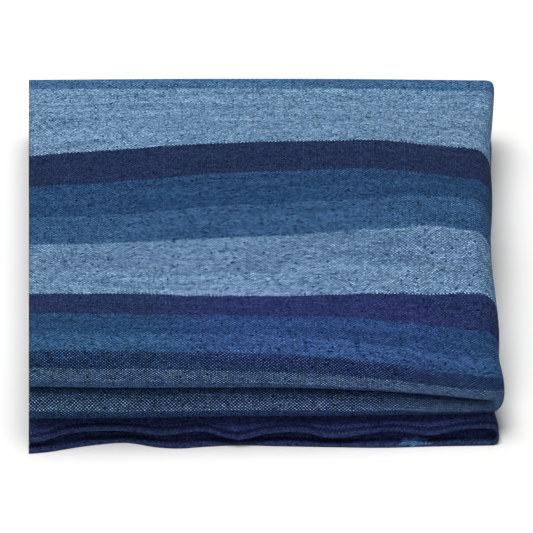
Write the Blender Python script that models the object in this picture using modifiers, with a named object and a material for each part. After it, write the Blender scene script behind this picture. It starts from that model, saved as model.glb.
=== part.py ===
"""Folded length of striped cotton cloth, as one sheet.

The cloth is doubled across, so its crosswise fold is the packet's right side, and the doubled
cloth is then folded twice: once at the back, which brings its lower edges to the front, and once
at the front, where its upper edges are tucked back inside. Seen in section from the side, two
layers run everywhere: an outer one, and an inner one that is its mirror through the right fold.

All sizes are in millimetres until the mesh is written in metres. X runs across the packet, +Y to
its back and +Z up, and the origin is under its middle, on the surface that it lies on.
"""
import math

import bmesh
import bpy
import numpy as np

MM = 0.001

# Driving dimensions
THICKNESS = 1.2  # the cloth
CONTACT = 2.2  # between the middles of two layers that lie on each other
SOLE = THICKNESS / 2  # height of the bottom layer's middle
HEEL = 126.0  # depth at which the outer layer's back fold begins and ends
NAPE_DROP = 1.0  # the back fold ends this much lower than the top layer's rear
BACK_REACH = 17.0  # how far the outer back fold bulges
BACK_SQUARE = 2.6  # 2 is round, more is squarer
INNER_HEEL = 119.0  # the same depth, reach and shape for the inner layer's back fold
INNER_REACH = 9.0
INNER_SQUARE = 2.0
ANCHOR = -66.0  # depth from which the front of the top layer is measured off
TUCK_HEIGHT = 41.0  # halfway between the two tucked edges, inside the packet
TUCK_APART = 9.0  # between them
TUCK_DEPTH = 95.0
BELLY_FLOOR = 8.8  # height of the lower front fold's underside
CUT = 130.9  # the cut end is this far left of the middle
CUT_SKEW = 0.034  # it runs this much out of square, for each millimetre of depth
CUT_LEAN = 0.027  # and leans this much, for each millimetre of height
CUT_HEIGHT = 25.0  # height at which the cut end is at CUT
CENTRE = (-4.1, 1.6)  # middle of the packet's box in the measures below
FOLD_STATION = 114.0  # where the crosswise fold begins, about
FOLD_SQUARE = 2.5
FOLD_SLACK = 60.0  # a fold of this radius would not bulge at all, a tight one bulges by its radius

# Lengths of cloth from the lower edge, along the layers
HEEL_RUN = 260.0
NAPE_RUN = 330.0  # the outer back fold lies between these two
INNER_HEEL_RUN = 280.0
INNER_NAPE_RUN = 310.0  # and the inner one between these
ANCHOR_RUN = 523.0
BELLY_RUN = 573.0  # where the inner layer's front fold begins
CREASE_RUN = 600.0  # where it turns back under the upper front fold
CLOTH_RUN = 800.0

# Heights of the top layer at six depths, and its front fold, at stations across the packet.
# brink_slope is the top layer's fall in degrees where the front fold begins, and nose its radius.
DEPTHS = {"rear": 113.0, "ridge": 59.0, "middle": 1.0, "crest": -29.0, "slope": -66.0, "brow": -87.0}
STATIONS = {
    "across": (-135, -80, -30, 20, 60, 90, 115, 130),
    "rear": (48.5, 49.0, 49.3, 49.3, 49.0, 48.6, 48.2, 48.0),
    "ridge": (49.5, 54.5, 58.5, 60.0, 60.5, 57.5, 54.0, 53.0),
    "middle": (50.0, 52.5, 57.5, 60.5, 63.5, 63.5, 60.0, 59.0),
    "crest": (50.0, 52.0, 54.5, 58.0, 61.5, 63.5, 60.0, 58.5),
    "slope": (50.0, 50.0, 48.5, 49.0, 50.0, 50.0, 50.5, 50.5),
    "brow": (52.5, 52.0, 51.0, 50.5, 48.5, 45.0, 41.5, 40.5),
    "brink_depth": (-110.5, -111, -111, -111, -111.5, -113.5, -116.5, -117.5),
    "brink_height": (54.0, 53.0, 52.0, 50.5, 46.5, 41.0, 36.0, 35.0),
    "brink_slope": (4, 6, 10, 14, 22, 32, 38, 40),
    "nose": (14.0, 14.0, 13.8, 13.8, 13.8, 13.0, 11.2, 10.8),
    "belly_depth": (-117, -116.5, -115, -114.5, -113.5, -113, -112, -111),
    "belly_reach": (9.0, 9.0, 9.0, 9.0, 8.5, 7.5, 6.0, 5.5),
}

# The inner layer inside the packet, from its edge to the inner back fold, and back above that
INNER = {
    "depth": (-105, -70, -30, 20, INNER_HEEL),
    "lower": (6.6, 10.6, 14.5, 17.0, 14.0),
    "upper": (8.9, 13.3, 18.8, 24.0, 33.0),
}

# The two edges at the front: the outer layer's lies on the surface, the inner one's is fluted
HEM = {
    "across": (-135, -120, -109, -93, -79, -63, -53, -38, -22, 0, 33, 53, 90, 130),
    "depth": (
        -140.8, -138.8, -136, -132.6, -131.3, -135, -136,
        -134.6, -133.4, -134, -134.9, -135.3, -134, -133,
    ),
}
LIP = {
    "across": (-135, -118, -109, -95, -72, -56, -34, -16, 0, 18, 38, 53, 67, 86, 107, 130),
    "depth": (
        -136, -135, -130, -128, -128, -132, -128, -135,
        -130, -129, -133, -131, -128.5, -132, -127, -127,
    ),
    "height": (4.4, 5.0, 6.0, 7.2, 7.2, 5.4, 7.2, 4.8, 6.8, 7.2, 5.2, 6.0, 7.2, 5.6, 7.6, 7.4),
}

# Where the crosswise fold begins, along the run of the cloth
SIDE = {
    "run": (0, 9, 60, 200, 290, 330, 385, 465, 523, 570, 600, CLOTH_RUN),
    "across": (116, 119.5, 116, 115, 117, 116.5, 114, 111, 111.5, 115.5, 117.5, 112),
}

# The mesh: rows of faces between these runs, close together round the folds, and its columns
ROWS = {
    "run": (0, 24, 250, 337, 526, 565, 608, CLOTH_RUN),
    "rows": (2, 9, 12, 11, 5, 9, 8),
}
COLUMNS = 17  # in each half
FOLD_COLUMNS = 7  # round the crosswise fold
STEPS = 64  # in each stretch of a section

COLOR = (0.045, 0.125, 0.27, 1.0)
ROUGHNESS = 0.9


def smooth_curve(at, knots, values):
    """Read a smooth curve through the points of a table."""
    knots = np.asarray(knots, float)
    values = np.asarray(values, float)
    slopes = np.gradient(values, knots)
    left = np.clip(np.searchsorted(knots, at, side="right") - 1, 0, len(knots) - 2)
    span = knots[left + 1] - knots[left]
    t = np.clip((at - knots[left]) / span, 0, 1)
    rise = (3 - 2 * t) * t * t
    return (
        values[left] * (1 - rise)
        + values[left + 1] * rise
        + span * (slopes[left] * t * (1 - t) ** 2 - slopes[left + 1] * t * t * (1 - t))
    )


def station(name, across):
    return float(smooth_curve(across, STATIONS["across"], STATIONS[name]))


def stretch(start, end):
    return np.linspace(start, end, STEPS + 1)


def rounded(angle, squareness):
    """Cosine and sine of a superellipse: a circle's where squareness is 2."""
    cosine = np.abs(np.cos(angle)) ** (2 / squareness)
    sine = np.sign(np.sin(angle)) * np.abs(np.sin(angle)) ** (2 / squareness)
    return cosine, sine


def half_fold(depth, start, end, reach, squareness):
    """Points of a fold that leaves a depth at one height and returns to it at another."""
    cosine, sine = rounded(stretch(-math.pi / 2, math.pi / 2), squareness)
    return depth + reach * cosine, (start + end) / 2 + (end - start) / 2 * sine


def charted(stretches):
    """Join stretches of a section, each marked with the run of cloth at its start and end.

    A stretch whose end is None takes its true length.
    """
    runs = []
    depths = []
    heights = []
    for depth, height, start, end in stretches:
        steps = np.hypot(np.diff(depth), np.diff(height))
        travelled = np.concatenate([[0.0], np.cumsum(steps)])
        scale = 1.0 if end is None else (end - start) / travelled[-1]
        runs.append(start + travelled * scale)
        depths.append(depth)
        heights.append(height)
    return np.concatenate(runs), np.concatenate(depths), np.concatenate(heights)


def tucked(depth, height, side):
    """The stretch that runs back inside the packet to a tucked edge, above or below its fellow."""
    share = stretch(0, 1)
    ease = (3 - 2 * share) * share * share
    rise = TUCK_HEIGHT + side * TUCK_APART / 2 - height
    return depth + (TUCK_DEPTH - depth) * share, height + rise * ease


def outer_layer(across):
    """Section of the outer layer at one place across the packet, from its lower edge."""
    hem = float(smooth_curve(across, HEM["across"], HEM["depth"]))
    brink = station("brink_depth", across)
    brink_height = station("brink_height", across)
    slope = math.radians(station("brink_slope", across))
    nose = station("nose", across)

    knots = [-HEEL] + [-depth for depth in DEPTHS.values()] + [-brink, -brink + nose / 2]
    heights = [station("rear", across) - NAPE_DROP]
    heights += [station(name, across) for name in DEPTHS]
    heights += [brink_height, brink_height - nose / 2 * math.tan(slope)]
    rear_depths = stretch(HEEL, ANCHOR)
    rear_heights = smooth_curve(-rear_depths, knots, heights)
    front_depths = stretch(ANCHOR, brink)
    front_heights = smooth_curve(-front_depths, knots, heights)

    turn = stretch(slope, math.pi)
    nose_depths = brink + nose * (math.sin(slope) - np.sin(turn))
    nose_heights = brink_height + nose * (np.cos(turn) - math.cos(slope))
    tuck_depths, tuck_heights = tucked(nose_depths[-1], nose_heights[-1], 1)

    sole_depths = stretch(hem, HEEL)
    sole_heights = np.full_like(sole_depths, SOLE)
    back_depths, back_heights = half_fold(HEEL, SOLE, rear_heights[0], BACK_REACH, BACK_SQUARE)
    front = (
        np.concatenate([front_depths, nose_depths[1:], tuck_depths[1:]]),
        np.concatenate([front_heights, nose_heights[1:], tuck_heights[1:]]),
    )
    return charted([
        (sole_depths, sole_heights, 0.0, HEEL_RUN),
        (back_depths, back_heights, HEEL_RUN, NAPE_RUN),
        (rear_depths, rear_heights, NAPE_RUN, ANCHOR_RUN),
        (*front, ANCHOR_RUN, None),
    ])


def inner_layer(across):
    """Section of the inner layer, which the outer one wraps, from its fluted edge."""
    lip = float(smooth_curve(across, LIP["across"], LIP["depth"]))
    lip_height = float(smooth_curve(across, LIP["across"], LIP["height"]))
    belly = station("belly_depth", across)
    reach = station("belly_reach", across)
    slope = math.radians(station("brink_slope", across))
    crease = station("brink_height", across) - station("nose", across) * (1 + math.cos(slope)) - CONTACT

    lower_depths = stretch(lip, INNER_HEEL)
    lower_heights = smooth_curve(lower_depths, (lip, *INNER["depth"]), (lip_height, *INNER["lower"]))
    upper_depths = stretch(INNER_HEEL, ANCHOR)
    upper_heights = smooth_curve(upper_depths, INNER["depth"], INNER["upper"])
    belly_depths = stretch(ANCHOR, belly)
    belly_heights = smooth_curve(belly_depths, (belly, *INNER["depth"]), (BELLY_FLOOR, *INNER["upper"]))
    back = half_fold(INNER_HEEL, lower_heights[-1], upper_heights[0], INNER_REACH, INNER_SQUARE)
    fold = half_fold(belly, belly_heights[-1], crease, -reach, INNER_SQUARE)
    return charted([
        (lower_depths, lower_heights, 0.0, INNER_HEEL_RUN),
        (*back, INNER_HEEL_RUN, INNER_NAPE_RUN),
        (upper_depths, upper_heights, INNER_NAPE_RUN, ANCHOR_RUN),
        (belly_depths, belly_heights, ANCHOR_RUN, BELLY_RUN),
        (*fold, BELLY_RUN, CREASE_RUN),
        (*tucked(belly, crease, -1), CREASE_RUN, None),
    ])


def read_layer(layer, run):
    runs, depths, heights = layer
    return np.stack([np.interp(run, runs, depths), np.interp(run, runs, heights)], axis=-1)


def cloth_points(run, columns, fold_columns):
    """Grid of points on the middle of the cloth, first across the packet and then along the run."""
    side = smooth_curve(run, SIDE["run"], SIDE["across"])
    halves = {}
    for name, layer in (("outer", outer_layer), ("inner", inner_layer)):
        half = []
        for share in np.linspace(0, 1, columns + 1):
            section = read_layer(layer(-CUT + share * (FOLD_STATION + CUT)), run)
            cut = -(CUT + CUT_SKEW * section[:, 0] - CUT_LEAN * (section[:, 1] - CUT_HEIGHT))
            half.append(np.column_stack([cut + share * (side - cut), section]))
        halves[name] = np.array(half)

    middle = (halves["outer"][-1] + halves["inner"][-1]) / 2
    spread = (halves["outer"][-1] - halves["inner"][-1]) / 2
    radius = np.linalg.norm(spread, axis=1)
    bulge = radius * (1 - radius / FOLD_SLACK)
    fold = []
    for angle in np.linspace(math.pi / 2, -math.pi / 2, fold_columns + 1)[1:-1]:
        cosine, sine = rounded(angle, FOLD_SQUARE)
        points = middle + spread * sine
        points[:, 0] += bulge * cosine
        fold.append(points)
    points = np.concatenate([halves["outer"], np.array(fold), halves["inner"][::-1]])
    return points - (*CENTRE, 0.0)


def cotton_material():
    material = bpy.data.materials.new("woven_cotton")
    material.use_nodes = True
    shader = material.node_tree.nodes["Principled BSDF"]
    shader.inputs["Base Color"].default_value = COLOR
    shader.inputs["Roughness"].default_value = ROUGHNESS
    shader.inputs["Metallic"].default_value = 0.0
    return material


def rows_of_runs():
    """Runs at which the mesh gets a row."""
    ends = ROWS["run"]
    stretches = [
        np.linspace(start, end, count, endpoint=False)
        for start, end, count in zip(ends, ends[1:], ROWS["rows"])
    ]
    return np.append(np.concatenate(stretches), CLOTH_RUN)


def folded_cloth(collection):
    run = rows_of_runs()
    points = cloth_points(run, COLUMNS, FOLD_COLUMNS)
    columns = len(points) - 1
    rows = len(run) - 1

    shape = bmesh.new()
    bmesh.ops.create_grid(shape, x_segments=columns, y_segments=rows, size=0.5)
    for vertex in shape.verts:
        column = round((vertex.co.x + 0.5) * columns)
        row = round((vertex.co.y + 0.5) * rows)
        vertex.co = points[column, row] * MM
    mesh = bpy.data.meshes.new("folded_cotton_cloth")
    shape.to_mesh(mesh)
    shape.free()

    cloth = bpy.data.objects.new("folded_cotton_cloth", mesh)
    collection.objects.link(cloth)
    mesh.materials.append(cotton_material())
    mesh.shade_smooth()
    solid = cloth.modifiers.new("Thickness", "SOLIDIFY")
    solid.thickness = THICKNESS * MM
    solid.offset = 0.0
    solid.use_even_offset = True


for old in list(bpy.data.objects):
    bpy.data.objects.remove(old, do_unlink=True)

fabric = bpy.data.collections.new("striped_cotton_fabric")
bpy.context.scene.collection.children.link(fabric)
folded_cloth(fabric)
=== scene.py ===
"""Folded length of indigo striped handloom cotton: the looks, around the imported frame.

Lengths here are in millimetres until a mesh is written in metres. X runs across the packet, +Y to
its back and +Z up. A run is a length of cloth along its warp, counted from its lower edge.
"""
import math

import bpy
import numpy as np
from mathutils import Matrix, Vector


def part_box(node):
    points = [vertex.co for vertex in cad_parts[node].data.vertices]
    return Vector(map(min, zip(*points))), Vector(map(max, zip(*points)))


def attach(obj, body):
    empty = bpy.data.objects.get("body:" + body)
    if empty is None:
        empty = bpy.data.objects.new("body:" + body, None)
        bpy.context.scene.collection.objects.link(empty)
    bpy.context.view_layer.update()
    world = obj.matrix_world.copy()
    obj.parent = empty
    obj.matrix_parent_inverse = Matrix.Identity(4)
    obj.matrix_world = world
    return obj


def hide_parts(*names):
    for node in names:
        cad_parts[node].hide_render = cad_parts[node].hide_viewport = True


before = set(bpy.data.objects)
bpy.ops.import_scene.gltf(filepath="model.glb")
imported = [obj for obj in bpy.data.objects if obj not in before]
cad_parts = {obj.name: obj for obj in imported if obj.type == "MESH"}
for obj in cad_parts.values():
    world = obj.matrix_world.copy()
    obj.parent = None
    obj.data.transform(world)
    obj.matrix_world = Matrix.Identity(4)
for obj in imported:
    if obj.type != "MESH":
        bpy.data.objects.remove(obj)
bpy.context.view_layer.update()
bpy.ops.object.select_all(action="DESELECT")

MM = 0.001


# --- The cloth -----------------------------------------------------------------------------------
# One rectangle of heavy handloom cotton, cut off the loom with its two selvedges. It is doubled
# across, with the fold at the packet's right, then folded at the back, and its upper edges are
# tucked back inside at the front. It is a thin sheet on the frame's folds, with its own creases.

THICKNESS = 1.1
CONTACT = 1.6  # between the middles of two layers that lie on each other
SOLE = 0.6  # height of the bottom layer's middle
HEEL = 126.0  # depth at which the outer layer's back fold begins and ends
NAPE_DROP = 1.0  # the back fold ends this much lower than the top layer's rear
BACK_REACH = 17.0  # how far the outer back fold bulges
BACK_SQUARE = 2.6  # 2 is round, more is squarer
INNER_HEEL = 119.0  # the same depth, reach and shape for the inner layer's back fold
INNER_REACH = 9.0
INNER_SQUARE = 2.0
ANCHOR = -66.0  # depth from which the front of the top layer is measured off
TUCK_HEIGHT = 41.0  # halfway between the two tucked edges, inside the packet
TUCK_APART = 9.0
TUCK_DEPTH = 95.0
BELLY_FLOOR = 8.5  # height of the lower front fold's underside
CUT = 130.9  # the selvedges are this far left of the middle
CUT_SKEW = 0.034  # they run this much out of square, for each millimetre of depth
CUT_LEAN = 0.027  # and lean this much, for each millimetre of height
CUT_HEIGHT = 25.0
FOLD_STATION = 114.0  # where the crosswise fold begins, about
FOLD_SLACK = 60.0  # a fold of this radius would not bulge at all, a tight one bulges by its radius

# Runs at which the folds begin and end
HEEL_RUN = 260.0
NAPE_RUN = 330.0
INNER_HEEL_RUN = 280.0
INNER_NAPE_RUN = 310.0
ANCHOR_RUN = 523.0
BELLY_RUN = 573.0
CREASE_RUN = 600.0
CLOTH_RUN = 800.0

# Heights of the top layer at six depths, and its front fold, at stations across the packet.
# brink_slope is the top layer's fall in degrees where the front fold begins, and nose its radius.
DEPTHS = {"rear": 113.0, "ridge": 59.0, "middle": 1.0, "crest": -29.0, "slope": -66.0, "brow": -87.0}
STATIONS = {
    "across": (-135, -80, -30, 20, 60, 90, 115, 130),
    "rear": (48.5, 49.0, 49.3, 49.3, 49.0, 48.6, 48.2, 48.0),
    "ridge": (49.5, 54.5, 58.5, 60.0, 60.5, 57.5, 54.0, 53.0),
    "middle": (50.0, 52.5, 57.5, 60.5, 63.5, 63.5, 60.0, 59.0),
    "crest": (50.0, 52.0, 54.5, 58.0, 61.5, 63.5, 60.0, 58.5),
    "slope": (50.0, 50.0, 48.5, 49.0, 50.0, 50.0, 50.5, 50.5),
    "brow": (52.5, 52.0, 51.0, 50.5, 48.5, 45.0, 41.5, 40.5),
    "brink_depth": (-110.5, -111, -111, -111, -111.5, -113.5, -116.5, -117.5),
    "brink_height": (54.0, 53.0, 52.0, 50.5, 46.5, 41.0, 36.0, 35.0),
    "brink_slope": (4, 6, 10, 14, 22, 32, 38, 40),
    "nose": (14.0, 14.0, 13.8, 13.8, 13.8, 13.0, 11.2, 10.8),
    "belly_depth": (-117, -116.5, -115, -114.5, -113.5, -113, -112, -111),
    "belly_reach": (9.0, 9.0, 9.0, 9.0, 8.5, 7.5, 6.0, 5.5),
}

# The inner layer inside the packet, from its edge to the inner back fold, and back above that
INNER = {
    "depth": (-105, -70, -30, 20, INNER_HEEL),
    "lower": (6.6, 10.6, 14.5, 17.0, 14.0),
    "upper": (8.9, 13.3, 18.8, 24.0, 33.0),
}

# The two cut edges at the front: the outer layer's lies on the surface, the inner one's is fluted
HEM = {
    "across": (-135, -120, -109, -93, -79, -63, -53, -38, -22, 0, 33, 53, 90, 130),
    "depth": (
        -140.8, -138.8, -136, -132.6, -131.3, -135, -136,
        -134.6, -133.4, -134, -134.9, -135.3, -134, -133,
    ),
}
LIP = {
    "across": (-139, -122, -113, -99, -76, -60, -38, -20, -4, 14, 31, 46, 63, 82, 103, 126),
    "depth": (
        -136, -135, -131, -129.7, -129.8, -131, -129.7, -134,
        -131, -130.4, -133, -131, -129.6, -131.2, -127.8, -128.6,
    ),
    "height": (4.4, 5.0, 6.0, 7.2, 7.2, 5.4, 7.2, 4.8, 6.8, 7.2, 5.2, 6.0, 7.2, 5.6, 7.6, 7.4),
}

# Where the crosswise fold begins along the run of the cloth, how square it is there, and how far
# its lower half leans in
SIDE = {
    "run": (0, 9, 24, 60, 200, 290, 330, 350, 385, 420, 465, 490, 523, 535, 560, 585, 600, CLOTH_RUN),
    "across": (
        119.8, 120, 118.5, 116, 115, 118.4, 117.9, 115.5,
        113.2, 112.2, 108.9, 108.9, 111.9, 113.1, 113.6, 117.4, 117.5, 112,
    ),
    "square": (2.5, 2.5, 2.5, 2.5, 2.5, 5.5, 6, 3.5, 2.6, 2.5, 2.5, 2.5, 2.5, 2.5, 2.5, 2.5, 2.5, 2.5),
    "lean": (0, 0, 0, 0, 0, 2.2, 2.2, 0.8, 0, 0, 0, 0, 0, 0, 0, 0, 0, 0),
}

# The mesh: rows of faces between these runs, close together round the folds, and its columns
ROWS = {
    "run": (0, 24, 250, 337, 526, 608, CLOTH_RUN),
    "rows": (14, 30, 36, 88, 84, 34),
}
OUTER_COLUMNS = 88
FOLD_COLUMNS = 20
INNER_COLUMNS = 44
STEPS = 96  # in each stretch of a section


def smooth_curve(at, knots, values):
    """Read a smooth curve through the points of a table."""
    knots = np.asarray(knots, float)
    values = np.asarray(values, float)
    slopes = np.gradient(values, knots)
    left = np.clip(np.searchsorted(knots, at, side="right") - 1, 0, len(knots) - 2)
    span = knots[left + 1] - knots[left]
    t = np.clip((at - knots[left]) / span, 0, 1)
    rise = (3 - 2 * t) * t * t
    return (
        values[left] * (1 - rise)
        + values[left + 1] * rise
        + span * (slopes[left] * t * (1 - t) ** 2 - slopes[left + 1] * t * t * (1 - t))
    )


def station(name, across):
    return float(smooth_curve(across, STATIONS["across"], STATIONS[name]))


def stretch(start, end):
    return np.linspace(start, end, STEPS + 1)


def rounded(angle, squareness):
    """Cosine and sine of a superellipse: a circle's where squareness is 2."""
    cosine = np.abs(np.cos(angle)) ** (2 / squareness)
    sine = np.sign(np.sin(angle)) * np.abs(np.sin(angle)) ** (2 / squareness)
    return cosine, sine


def half_fold(depth, start, end, reach, squareness):
    """Points of a fold that leaves a depth at one height and returns to it at another."""
    cosine, sine = rounded(stretch(-math.pi / 2, math.pi / 2), squareness)
    return depth + reach * cosine, (start + end) / 2 + (end - start) / 2 * sine


def charted(stretches):
    """Join stretches of a section, each marked with the run of cloth at its start and end.

    A stretch whose end is None takes its true length.
    """
    runs = []
    depths = []
    heights = []
    for depth, height, start, end in stretches:
        steps = np.hypot(np.diff(depth), np.diff(height))
        travelled = np.concatenate([[0.0], np.cumsum(steps)])
        scale = 1.0 if end is None else (end - start) / travelled[-1]
        runs.append(start + travelled * scale)
        depths.append(depth)
        heights.append(height)
    return np.concatenate(runs), np.concatenate(depths), np.concatenate(heights)


def tucked(depth, height, side):
    """The stretch that runs back inside the packet to a tucked edge, above or below its fellow."""
    share = stretch(0, 1)
    ease = (3 - 2 * share) * share * share
    rise = TUCK_HEIGHT + side * TUCK_APART / 2 - height
    return depth + (TUCK_DEPTH - depth) * share, height + rise * ease


def outer_layer(across):
    """Section of the outer layer at one place across the packet, from its lower edge."""
    hem = float(smooth_curve(across, HEM["across"], HEM["depth"]))
    brink = station("brink_depth", across)
    brink_height = station("brink_height", across)
    slope = math.radians(station("brink_slope", across))
    nose = station("nose", across)

    knots = [-HEEL] + [-depth for depth in DEPTHS.values()] + [-brink, -brink + nose / 2]
    heights = [station("rear", across) - NAPE_DROP]
    heights += [station(name, across) for name in DEPTHS]
    heights += [brink_height, brink_height - nose / 2 * math.tan(slope)]
    rear_depths = stretch(HEEL, ANCHOR)
    rear_heights = smooth_curve(-rear_depths, knots, heights)
    front_depths = stretch(ANCHOR, brink)
    front_heights = smooth_curve(-front_depths, knots, heights)

    turn = stretch(slope, math.pi)
    nose_depths = brink + nose * (math.sin(slope) - np.sin(turn))
    nose_heights = brink_height + nose * (np.cos(turn) - math.cos(slope))
    tuck_depths, tuck_heights = tucked(nose_depths[-1], nose_heights[-1], 1)

    sole_depths = stretch(hem, HEEL)
    sole_heights = np.full_like(sole_depths, SOLE)
    back_depths, back_heights = half_fold(HEEL, SOLE, rear_heights[0], BACK_REACH, BACK_SQUARE)
    front = (
        np.concatenate([front_depths, nose_depths[1:], tuck_depths[1:]]),
        np.concatenate([front_heights, nose_heights[1:], tuck_heights[1:]]),
    )
    return charted([
        (sole_depths, sole_heights, 0.0, HEEL_RUN),
        (back_depths, back_heights, HEEL_RUN, NAPE_RUN),
        (rear_depths, rear_heights, NAPE_RUN, ANCHOR_RUN),
        (*front, ANCHOR_RUN, None),
    ])


def inner_layer(across):
    """Section of the inner layer, which the outer one wraps, from its fluted edge."""
    lip = float(smooth_curve(across, LIP["across"], LIP["depth"]))
    lip_height = float(smooth_curve(across, LIP["across"], LIP["height"]))
    belly = station("belly_depth", across)
    reach = station("belly_reach", across)
    slope = math.radians(station("brink_slope", across))
    nose = station("nose", across)

    # Under the front fold the layer follows it round, from where the two meet to its lowest point
    pressed = nose + CONTACT
    centre = station("brink_depth", across) + nose * math.sin(slope)
    centre_height = station("brink_height", across) - nose * math.cos(slope)
    turn = stretch(math.pi - math.asin((centre - belly) / pressed), math.pi)
    under_depths = centre - pressed * np.sin(turn)
    under_heights = centre_height + pressed * np.cos(turn)

    lower_depths = stretch(lip, INNER_HEEL)
    lower_heights = smooth_curve(lower_depths, (lip, *INNER["depth"]), (lip_height, *INNER["lower"]))
    upper_depths = stretch(INNER_HEEL, ANCHOR)
    upper_heights = smooth_curve(upper_depths, INNER["depth"], INNER["upper"])
    belly_depths = stretch(ANCHOR, belly)
    belly_heights = smooth_curve(belly_depths, (belly, *INNER["depth"]), (BELLY_FLOOR, *INNER["upper"]))
    back = half_fold(INNER_HEEL, lower_heights[-1], upper_heights[0], INNER_REACH, INNER_SQUARE)
    fold = half_fold(belly, belly_heights[-1], under_heights[0], -reach, INNER_SQUARE)
    tuck_depths, tuck_heights = tucked(under_depths[-1], under_heights[-1], -1)
    hidden = (
        np.concatenate([under_depths, tuck_depths[1:]]),
        np.concatenate([under_heights, tuck_heights[1:]]),
    )
    return charted([
        (lower_depths, lower_heights, 0.0, INNER_HEEL_RUN),
        (*back, INNER_HEEL_RUN, INNER_NAPE_RUN),
        (upper_depths, upper_heights, INNER_NAPE_RUN, ANCHOR_RUN),
        (belly_depths, belly_heights, ANCHOR_RUN, BELLY_RUN),
        (*fold, BELLY_RUN, CREASE_RUN),
        (*hidden, CREASE_RUN, None),
    ])


def read_layer(layer, run):
    runs, depths, heights = layer
    return np.stack([np.interp(run, runs, depths), np.interp(run, runs, heights)], axis=-1)


def cloth_points(run):
    """Grid of points on the middle of the cloth, first across the packet and then along the run."""
    side = smooth_curve(run, SIDE["run"], SIDE["across"])
    square = smooth_curve(run, SIDE["run"], SIDE["square"])
    lean = smooth_curve(run, SIDE["run"], SIDE["lean"])
    halves = {}
    for name, layer, columns in (
        ("outer", outer_layer, OUTER_COLUMNS),
        ("inner", inner_layer, INNER_COLUMNS),
    ):
        half = []
        for share in np.linspace(0, 1, columns + 1):
            section = read_layer(layer(-CUT + share * (FOLD_STATION + CUT)), run)
            cut = -(CUT + CUT_SKEW * section[:, 0] - CUT_LEAN * (section[:, 1] - CUT_HEIGHT))
            half.append(np.column_stack([cut + share * (side - cut), section]))
        halves[name] = np.array(half)

    middle = (halves["outer"][-1] + halves["inner"][-1]) / 2
    spread = (halves["outer"][-1] - halves["inner"][-1]) / 2
    radius = np.linalg.norm(spread, axis=1)
    bulge = radius * (1 - radius / FOLD_SLACK)
    fold = []
    for angle in np.linspace(math.pi / 2, -math.pi / 2, FOLD_COLUMNS + 1)[1:-1]:
        cosine, sine = rounded(angle, square)
        points = middle + spread * sine[:, None]
        points[:, 0] += bulge * cosine - lean * cosine * (1 - sine) / 2
        fold.append(points)
    return np.concatenate([halves["outer"], np.array(fold), halves["inner"][::-1]])


def rows_of_runs():
    ends = ROWS["run"]
    stretches = [
        np.linspace(start, end, count, endpoint=False)
        for start, end, count in zip(ends, ends[1:], ROWS["rows"])
    ]
    return np.append(np.concatenate(stretches), CLOTH_RUN)


# The weft's bands: what yarn, and where each starts in the flat cloth. Some starts have crept along
# the warp: by the first amount over most of the width, bowing out to the second at the crosswise
# fold, then further round the fold itself and inside it.
# Next to the hem the plum yarn is painted shade, darkened to cancel the light the lip catches, and the
# damson yarn beyond it is painted light, paler in the shade under the lower front fold.
# The edge yarn at both cut edges is a painted highlight: it is paler where light catches the cut.
# The frost yarn is painted light: it is the light weft made paler where it faces forward on the two front
# folds, in their shade.
# The slate yarn is painted shade: it is the light weft darkened under the front fold and at the top of
# the lower fold.
BANDS = (
    ("edge", 0), ("plum_painted_shade", 1.2), ("damson_painted_light", 6), ("plum_painted_shade", 40), ("deep", 62), ("sky", 86), ("navy", 124),
    ("mid", 150), ("sky", 181), ("deep", 216), ("navy", 247), ("dusk", 291), ("sky", 331),
    ("navy", 397.5), ("deep", 428), ("mid", 455), ("haze", 480.5), ("sky", 503), ("royal", 522),
    ("deep", 541), ("steel", 561), ("ink", 574), ("frost_painted_light", 584), ("slate_painted_shade", 591.5), ("navy", 618),
    ("mid", 645), ("sky", 668), ("navy", 706), ("deep", 738), ("navy", 771), ("edge", 798.8),
)
CREPT = {
    331: (2, 3), 397.5: (-1, -3), 428: (0, 3), 455: (0, -6), 480.5: (0, -2), 522: (-1.5, -2),
    541: (0, 3), 561: (0, 6), 574: (0, 4), 584: (-1, 1), 591.5: (-2.5, 1),
}
BOW_STATION = 30.0  # the bow begins here, and grows by this power towards the fold
BOW_POWER = 1.5
CREPT_ROUND = {574: -7.0, 584: -8.0, 591.5: -6.0}
CREPT_INSIDE = {574: 4.0, 584: 2.5, 591.5: 2.5}

runs = rows_of_runs()
points = cloth_points(runs)
columns = len(points) - 1
rows = len(runs) - 1

# The frame says where the packet is: its left selvedge and its front edge are the cloth's
low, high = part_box("folded_cotton_cloth")
points[:, :, 0] += low.x / MM - points[:, :, 0].min()
points[:, :, 1] += low.y / MM - points[:, :, 1].min()

# Each column's place across the flat cloth, measured at the anchor's run, and each point's place
# along the flat cloth, in which every band is straight
anchor_row = int(np.argmin(np.abs(runs - ANCHOR_RUN)))
steps = np.linalg.norm(np.diff(points[:, anchor_row], axis=0), axis=1)
ends_across = np.concatenate([[0.0], np.cumsum(steps)])
CLOTH_WIDTH = float(ends_across[-1])
woven_runs = np.empty((columns + 1, rows + 1))
starts = [start for _, start in BANDS]
for column in range(columns + 1):
    turned = float(np.clip((column - OUTER_COLUMNS) / FOLD_COLUMNS, 0, 1))
    place = -CUT + min(column / OUTER_COLUMNS, 1.0) * (FOLD_STATION + CUT)
    bow = max(place - BOW_STATION, 0.0) / (FOLD_STATION - BOW_STATION)
    crept = np.array([*starts, CLOTH_RUN], float)
    for band, start in enumerate(starts):
        if start in CREPT:
            most, at_fold = CREPT[start]
            outside = most + (at_fold - most) * bow**BOW_POWER
            inside = CREPT_INSIDE.get(start, 0.0)
            bend = CREPT_ROUND.get(start, 0.0) * math.sin(math.pi * turned) ** 4
            crept[band] += outside * (1 - turned) + inside * turned + bend
    woven_runs[column] = np.interp(runs, crept, [*starts, CLOTH_RUN])

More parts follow.
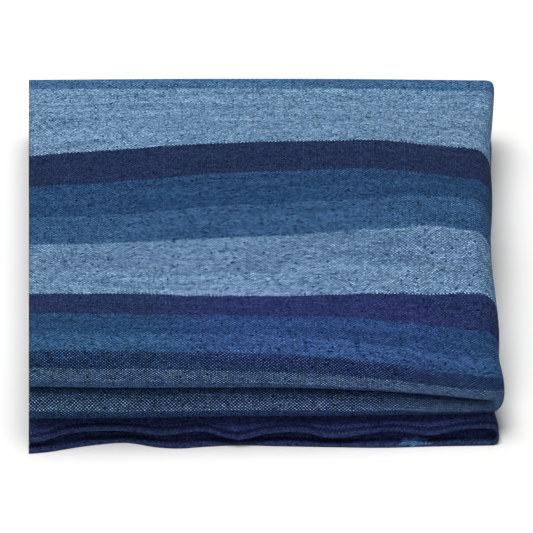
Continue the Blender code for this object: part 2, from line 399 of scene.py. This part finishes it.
bpy.ops.mesh.primitive_grid_add(
    x_subdivisions=columns, y_subdivisions=rows, size=1.0, calc_uvs=False
)
cloth = bpy.context.active_object
cloth.name = "striped_cotton_cloth"
mesh = cloth.data
grid = np.array([vertex.co for vertex in mesh.vertices])
column_of = np.rint((grid[:, 0] + 0.5) * columns).astype(int)
row_of = np.rint((grid[:, 1] + 0.5) * rows).astype(int)
mesh.vertices.foreach_set("co", (points[column_of, row_of] * MM).ravel())
mesh.shade_smooth()
solid = cloth.modifiers.new("Thickness", "SOLIDIFY")
solid.thickness = THICKNESS * MM
solid.offset = 0.0
solid.use_even_offset = True
bpy.ops.object.modifier_apply(modifier=solid.name)

# Two maps of the finished shell, whose second face follows its first, with the rims last. "Threads"
# is the place in the flat cloth, in millimetres, the same on both faces. "OFBake" lays the faces
# side by side. In both the rims carry on outwards from the first face.
MARGIN = 4.0  # round each face in the second map
corners = np.array([polygon.vertices for polygon in mesh.polygons])
column_at = column_of[corners % len(grid)]
row_at = row_of[corners % len(grid)]
face_count = columns * rows
number = np.arange(len(corners))[:, None]
beyond = (number >= 2 * face_count) & (corners >= len(grid))
outwards = np.stack([
    (column_at == columns).all(axis=1) * 1.0 - (column_at == 0).all(axis=1),
    (row_at == rows).all(axis=1) * 1.0 - (row_at == 0).all(axis=1),
], axis=-1)
outwards = THICKNESS * beyond[..., None] * outwards[:, None]
threads = np.stack([ends_across[column_at], woven_runs[column_at, row_at]], axis=-1) + outwards
second = (number >= face_count) & (number < 2 * face_count)
bake = np.stack([ends_across[column_at], runs[row_at]], axis=-1) + outwards + MARGIN
bake[..., 0] += second * (CLOTH_WIDTH + 2 * MARGIN)
bake /= (2 * CLOTH_WIDTH + 4 * MARGIN, CLOTH_RUN + 2 * MARGIN)
for name, places in (("Threads", threads), ("OFBake", bake)):
    mesh.uv_layers.new(name=name).data.foreach_set("uv", places.ravel())
mesh.uv_layers.active = mesh.uv_layers["Threads"]


def linear(hex_colour):
    """sRGB hex to linear, with alpha."""
    channels = [int(hex_colour[i:i + 2], 16) / 255 for i in (0, 2, 4)]
    return (*[c / 12.92 if c <= 0.04045 else ((c + 0.055) / 1.055) ** 2.4 for c in channels], 1.0)


def add_node(tree, kind, inputs, output=0, **settings):
    """Add a node with its settings and links, and give its output."""
    node = tree.nodes.new("ShaderNode" + kind)
    for name, value in settings.items():
        setattr(node, name, value)
    for key, value in inputs.items():
        if isinstance(value, bpy.types.NodeSocket):
            tree.links.new(value, node.inputs[key])
        else:
            node.inputs[key].default_value = value
    return node.outputs[output]


# Handloom plain-weave cotton, indigo-dyed in the yarn: a navy warp throughout, and a weft that
# changes colour in bands. The eye sees a matt, dry surface of two crossed yarns: dots where it
# faces the eye, heather where it slants away. Ends and picks are at their true pitch.
END_PITCH = 0.95  # between neighbouring warp yarns
PICK_PITCH = 0.82  # between neighbouring weft yarns
WARP = "1A2749"
WEFT = {
    # painted highlight along the cut edges
    "edge": "36456E",
    # painted shade: darkened at the hem's lip and on the lowest layer
    "plum_painted_shade": "20284C",
    # painted light: paler in the shade under the lower front fold
    "damson_painted_light": "44538E",
    "navy": "2A3B61",
    "royal": "304270",
    "ink": "4E79B6",
    "deep": "335F8E",
    "mid": "4674A4",
    "steel": "3A6692",
    "dusk": "5C8EBE",
    # painted shade: the light weft darkened under the front fold
    "slate_painted_shade": "5882B4",
    "haze": "7FA7CF",
    "sky": "89B3D9",
    # painted light: the light weft made paler on the shaded front folds
    "frost_painted_light": "8DC0F8",
}
# How fully each weft beds down over the warp, from 0, where the warp shows between its dots
COVER = {
    "edge": 0.8, "plum_painted_shade": 0.8, "damson_painted_light": 0.9, "navy": 0.5, "royal": 0.5, "ink": 0.0, "deep": 0.5,
    "mid": 0.5, "steel": 0.9, "dusk": 0.5, "slate_painted_shade": 0.2, "haze": 0.7, "sky": 0.7, "frost_painted_light": 0.0,
}

cotton = bpy.data.materials.new("handloom_plain_weave_cotton")
cotton.use_nodes = True
tree = cotton.node_tree
shader = tree.nodes["Principled BSDF"]


def uneven(where, stretched, least, most, low=0.3, high=0.7):
    """A smooth random amount between two limits, stretched along either yarn."""
    spread = add_node(tree, "VectorMath", {0: where, 1: (*stretched, 0.0)}, operation="MULTIPLY")
    noise = add_node(
        tree, "TexNoise", {"Vector": spread, "Scale": 1.0, "Detail": 3.0, "Roughness": 0.6},
        noise_dimensions="2D",
    )
    limits = {"From Min": low, "From Max": high, "To Min": least, "To Max": most}
    return add_node(tree, "MapRange", {"Value": noise, **limits})


def product(first, *others):
    for other in others:
        first = add_node(tree, "Math", {0: first, 1: other}, operation="MULTIPLY")
    return first


# The threads wander: widely, over a thumb's breadth, and finely, over a few yarns
flat = add_node(tree, "UVMap", {}, uv_map="Threads")
threads = flat
for scale, reach in ((0.05, (1.2, 2.0, 0.0)), (0.3, (0.45, 0.5, 0.0))):
    wander = add_node(
        tree, "TexNoise", {"Vector": flat, "Scale": scale, "Detail": 2.0}, output=1, noise_dimensions="2D"
    )
    wander = add_node(tree, "VectorMath", {0: wander, 1: (0.5, 0.5, 0.5)}, operation="SUBTRACT")
    threads = add_node(tree, "VectorMath", {0: wander, 1: reach, 2: threads}, operation="MULTIPLY_ADD")
counts = add_node(
    tree, "VectorMath", {0: threads, 1: (1 / END_PITCH, 1 / PICK_PITCH, 0.0)}, operation="MULTIPLY"
)
ends = add_node(tree, "SeparateXYZ", {0: counts}, output=0)
picks = add_node(tree, "SeparateXYZ", {0: counts}, output=1)
end = add_node(tree, "Math", {0: ends}, operation="FLOOR")
pick = add_node(tree, "Math", {0: picks}, operation="FLOOR")
across_end = add_node(tree, "Math", {0: ends}, operation="FRACT")
across_pick = add_node(tree, "Math", {0: picks}, operation="FRACT")
on_pick = add_node(tree, "CombineXYZ", {0: ends, 1: pick})
on_end = add_node(tree, "CombineXYZ", {0: end, 1: picks})


def yarn_height(along, number, across, phase):
    """Height of a yarn that waves over and under, with a round back across its width."""
    turn = add_node(tree, "Math", {0: along, 1: number}, operation="ADD")
    turn = add_node(tree, "Math", {0: turn, 1: math.pi, 2: phase}, operation="MULTIPLY_ADD")
    wave = add_node(tree, "Math", {0: turn}, operation="SINE")
    back = add_node(tree, "Math", {0: across, 1: math.pi}, operation="MULTIPLY")
    back = add_node(tree, "Math", {0: back}, operation="SINE")
    return add_node(tree, "Math", {0: wave, 1: 0.5, 2: back}, operation="MULTIPLY_ADD")


# Each band's yarn, with its cover in the ramp's alpha. Over an end that is up, the weft that beds
# down is the next pick's, so a band's edge has a tooth at every other end.
crossing = add_node(tree, "Math", {0: end, 1: pick}, operation="ADD")
crossing = add_node(tree, "Math", {0: crossing, 1: 0.5}, operation="MULTIPLY")
crossing = add_node(tree, "Math", {0: crossing}, operation="FRACT")
bedded = add_node(tree, "Math", {0: crossing, 1: 2.0, 2: pick}, operation="MULTIPLY_ADD")
band = add_node(
    tree, "Math", {0: bedded, 1: PICK_PITCH / CLOTH_RUN, 2: PICK_PITCH / CLOTH_RUN / 2},
    operation="MULTIPLY_ADD",
)
bobbin = add_node(tree, "ValToRGB", {0: band})
cover = bobbin.node.outputs[1]
bobbin.node.color_ramp.interpolation = "CONSTANT"
stops = bobbin.node.color_ramp.elements
stops.remove(stops[-1])
for number, (yarn, start) in enumerate(BANDS):
    stop = stops[0] if number == 0 else stops.new(start / CLOTH_RUN)
    stop.position = start / CLOTH_RUN
    stop.color = (*linear(WEFT[yarn])[:3], COVER[yarn])

# Thick and thin: where the weft is thick it hides the warp, where it is thin the warp shows
weft_height = yarn_height(ends, pick, across_pick, 0.0)
warp_height = yarn_height(picks, end, across_end, math.pi)
above = add_node(tree, "Math", {0: weft_height, 1: warp_height}, operation="SUBTRACT")
above = add_node(tree, "Math", {0: cover, 1: 0.6, 2: above}, operation="MULTIPLY_ADD")
cell = add_node(tree, "CombineXYZ", {0: end, 1: pick})
dot = add_node(tree, "TexWhiteNoise", {"Vector": cell}, noise_dimensions="2D")
loose_dot = add_node(tree, "Math", {0: dot, 1: 0.5}, operation="SUBTRACT")
ragged = add_node(tree, "Math", {0: cover, 1: 1.0, 2: 0.3}, operation="MULTIPLY_ADD")
for looseness in (
    uneven(on_pick, (0.25, 3.7), -0.28, 0.04),
    uneven(on_end, (5.3, 0.1), -0.22, 0.1),
    add_node(tree, "Math", {0: loose_dot, 1: ragged}, operation="MULTIPLY"),
):
    above = add_node(tree, "Math", {0: above, 1: looseness}, operation="ADD")
weft_shows = add_node(
    tree, "MapRange", {"Value": above, "From Min": -0.1, "From Max": 0.1},
    interpolation_type="SMOOTHSTEP",
)
fuzz = add_node(tree, "Math", {0: cover, 1: 0.3}, operation="MULTIPLY")
weft_shows = add_node(tree, "Math", {0: weft_shows, 1: fuzz}, operation="MAXIMUM")
height = add_node(tree, "Math", {0: weft_height, 1: warp_height}, operation="MAXIMUM")

# Uneven dye and twist along each yarn, cloudy sub-bands, and dark neps spun into the weft
shade = add_node(tree, "VectorMath", {0: cell, 1: (17.0, 31.0, 0.0)}, operation="ADD")
shade = add_node(tree, "TexWhiteNoise", {"Vector": shade}, noise_dimensions="2D")
dot_light = add_node(tree, "MapRange", {"Value": shade, "To Min": 0.62, "To Max": 1.38})
weft_light = product(
    uneven(on_pick, (0.22, 7.9), 0.82, 1.18),
    uneven(counts, (0.013, 0.12), 0.87, 1.13),
    uneven(on_pick, (0.02, 0.6), 0.87, 1.13),
    uneven(on_pick, (0.27, 0.83), 1.0, 0.1, low=0.59, high=0.73),
    dot_light,
)
PALE_ENDS = 0.025  # the share of warp yarns that are paler than the rest, and by how much
PALER = 0.9
light_end = add_node(tree, "TexWhiteNoise", {"W": end}, noise_dimensions="1D")
light_end = add_node(tree, "Math", {0: light_end, 1: 1 - PALE_ENDS}, operation="GREATER_THAN")
light_end = add_node(tree, "Math", {0: light_end, 1: PALER, 2: 1.0}, operation="MULTIPLY_ADD")
warp_light = product(uneven(on_end, (5.7, 0.05), 0.7, 1.3), dot_light, light_end)

# A short run of mid-blue picks shows in the open mouth of the hem
GLIMPSE = (200.0, 3.0)  # its place across the cloth and along it
GLIMPSE_REACH = (8.0, 3.5)
offset = add_node(tree, "VectorMath", {0: flat, 1: (*GLIMPSE, 0.0)}, operation="SUBTRACT")
offset = add_node(tree, "VectorMath", {0: offset, 1: (*GLIMPSE_REACH, 1.0)}, operation="DIVIDE")
offset = add_node(tree, "VectorMath", {0: offset}, output=1, operation="LENGTH")
torn = uneven(counts, (0.21, 0.33), -0.5, 0.5)
offset = add_node(tree, "Math", {0: offset, 1: torn}, operation="ADD")
glimpse = add_node(tree, "MapRange", {"Value": offset, "From Min": 1.05, "From Max": 0.9})
bobbin = add_node(
    tree, "Mix", {0: glimpse, 6: bobbin, 7: linear(WEFT["dusk"])}, output=2, data_type="RGBA"
)
SWING = (1.5, 1.2, 1.0)  # a light patch of yarn is also greyer and a dark one bluer
weft_light = add_node(tree, "VectorMath", {0: weft_light, 1: SWING}, operation="POWER")
weft = add_node(tree, "VectorMath", {0: bobbin, 1: weft_light}, operation="MULTIPLY")
warp = add_node(tree, "VectorMath", {0: linear(WARP)[:3], "Scale": warp_light}, operation="SCALE")
shown = add_node(tree, "Mix", {0: weft_shows, 6: warp, 7: weft}, output=2, data_type="RGBA")

# Painted shade: the low ends of the yarns' backs are darkened where they cross, most where the weave is
# open, for the shade in the hollows of the weave
depth = add_node(tree, "Math", {0: cover, 1: 0.5, 2: 0.09}, operation="MULTIPLY_ADD")
foot = add_node(tree, "Math", {0: cover, 1: -0.6, 2: 0.8}, operation="MULTIPLY_ADD")
foot = add_node(tree, "Math", {0: foot, 1: 0.5}, operation="MAXIMUM")
crest = add_node(tree, "Math", {0: foot, 1: 0.65}, operation="ADD")
painted_gap_shade = add_node(
    tree, "MapRange",
    {"Value": height, "From Min": foot, "From Max": crest, "To Min": depth, "To Max": 1.0},
)
shown = add_node(tree, "VectorMath", {0: shown, "Scale": painted_gap_shade}, operation="SCALE")

# The front's colour runs over to violet towards the crosswise fold. Each pair is where that starts
# and where it is full: off the fold on its far and near sides, and along the cloth at the front fold,
# which it partly leaves again, and above the hem.
VIOLET = (1.22, 0.98, 1.24)
FAR_FROM_FOLD = (215.0, 150.0)
CLOSE_TO_FOLD = (15.0, 75.0)
FRONT_BEGINS = (515.0, 535.0)
FRONT_ENDS = (574.0, 586.0)
HEM_ENDS = (75.0, 60.0)
LEAST_AT_FOLD = 0.25
LEFT_ROUND_FRONT = 0.45
MOST_AT_HEM = 0.6


def eased(value, limits, least, most):
    reach = {"From Min": limits[0], "From Max": limits[1], "To Min": least, "To Max": most}
    return add_node(tree, "MapRange", {"Value": value, **reach}, interpolation_type="SMOOTHSTEP")


from_fold = add_node(tree, "SeparateXYZ", {0: flat}, output=0)
from_fold = add_node(tree, "Math", {0: from_fold, 1: CLOTH_WIDTH / 2}, operation="SUBTRACT")
from_fold = add_node(tree, "Math", {0: from_fold}, operation="ABSOLUTE")
near_fold = product(
    eased(from_fold, FAR_FROM_FOLD, 0.0, 1.0),
    eased(from_fold, CLOSE_TO_FOLD, LEAST_AT_FOLD, 1.0),
)
run_here = add_node(tree, "SeparateXYZ", {0: flat}, output=1)
front = product(
    eased(run_here, FRONT_BEGINS, 0.0, 1.0),
    eased(run_here, FRONT_ENDS, 1.0, LEFT_ROUND_FRONT),
)
hem = eased(run_here, HEM_ENDS, 0.0, MOST_AT_HEM)
front = add_node(tree, "Math", {0: front, 1: hem}, operation="ADD")
violet = add_node(tree, "Math", {0: near_fold, 1: front}, operation="MULTIPLY")
tint = add_node(
    tree, "Mix", {0: violet, 6: (1.0, 1.0, 1.0, 1.0), 7: (*VIOLET, 1.0)}, output=2, data_type="RGBA"
)
shown = add_node(tree, "VectorMath", {0: shown, 1: tint}, operation="MULTIPLY")
tree.links.new(shown, shader.inputs["Base Color"])
bump = add_node(tree, "Bump", {"Height": height, "Distance": 0.35 * MM, "Strength": 0.8})
tree.links.new(bump, shader.inputs["Normal"])
shader.inputs["Roughness"].default_value = 0.95
shader.inputs["Metallic"].default_value = 0.0
shader.inputs["Specular IOR Level"].default_value = 0.08
mesh.materials.append(cotton)

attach(cloth, "root")
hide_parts("folded_cotton_cloth")


# --- The floor -----------------------------------------------------------------------------------
# A plain pale sweep, matt, on which the packet lies.
bpy.ops.mesh.primitive_plane_add(size=6.0, location=(0, 0, 0))
floor = bpy.context.active_object
floor.name = "pale_floor"
paper = bpy.data.materials.new("matt_white_paper")
paper.use_nodes = True
paper_shader = paper.node_tree.nodes["Principled BSDF"]
paper_shader.inputs["Base Color"].default_value = linear("F2F2F0")
paper_shader.inputs["Roughness"].default_value = 0.9
floor.data.materials.append(paper)


# --- Light and camera ----------------------------------------------------------------------------
# A large soft light above and behind the packet, a low fill in front and to its left, and a dim even
# room. The camera looks down on the front.
def area_light(name, place, aim, size, power):
    bpy.ops.object.light_add(type="AREA", location=place)
    lamp = bpy.context.active_object
    lamp.name = name
    lamp.data.size = size
    lamp.data.energy = power
    lamp.rotation_euler = (Vector(aim) - Vector(place)).to_track_quat("-Z", "Y").to_euler()


area_light("overhead_softbox", (-0.12, 0.25, 1.6), (0, 0, 0), 1.0, 28)
area_light("front_fill", (-0.7, -1.9, 0.4), (0, 0, 0.02), 1.2, 15)
room = bpy.data.worlds.new("studio")
bpy.context.scene.world = room
room.use_nodes = True
walls = room.node_tree.nodes["Background"]
walls.inputs["Color"].default_value = (1, 1, 1, 1)
walls.inputs["Strength"].default_value = 0.22

ELEVATION = math.radians(38)
DISTANCE = 3.0
VIEW_WIDTH = 293.15 * MM  # what the view takes in at the target
FILM_WIDTH = 36.0
TARGET = Vector((0.0042, -0.0106, 0.0243))
bpy.ops.object.camera_add(
    location=TARGET + DISTANCE * Vector((0, -math.cos(ELEVATION), math.sin(ELEVATION))),
    rotation=(math.pi / 2 - ELEVATION, 0, 0),
)
camera = bpy.context.active_object
camera.data.sensor_width = FILM_WIDTH
camera.data.lens = FILM_WIDTH * DISTANCE / VIEW_WIDTH
bpy.context.scene.camera = camera
bpy.context.scene.view_settings.view_transform = "Standard"

bpy.context.view_layer.update()
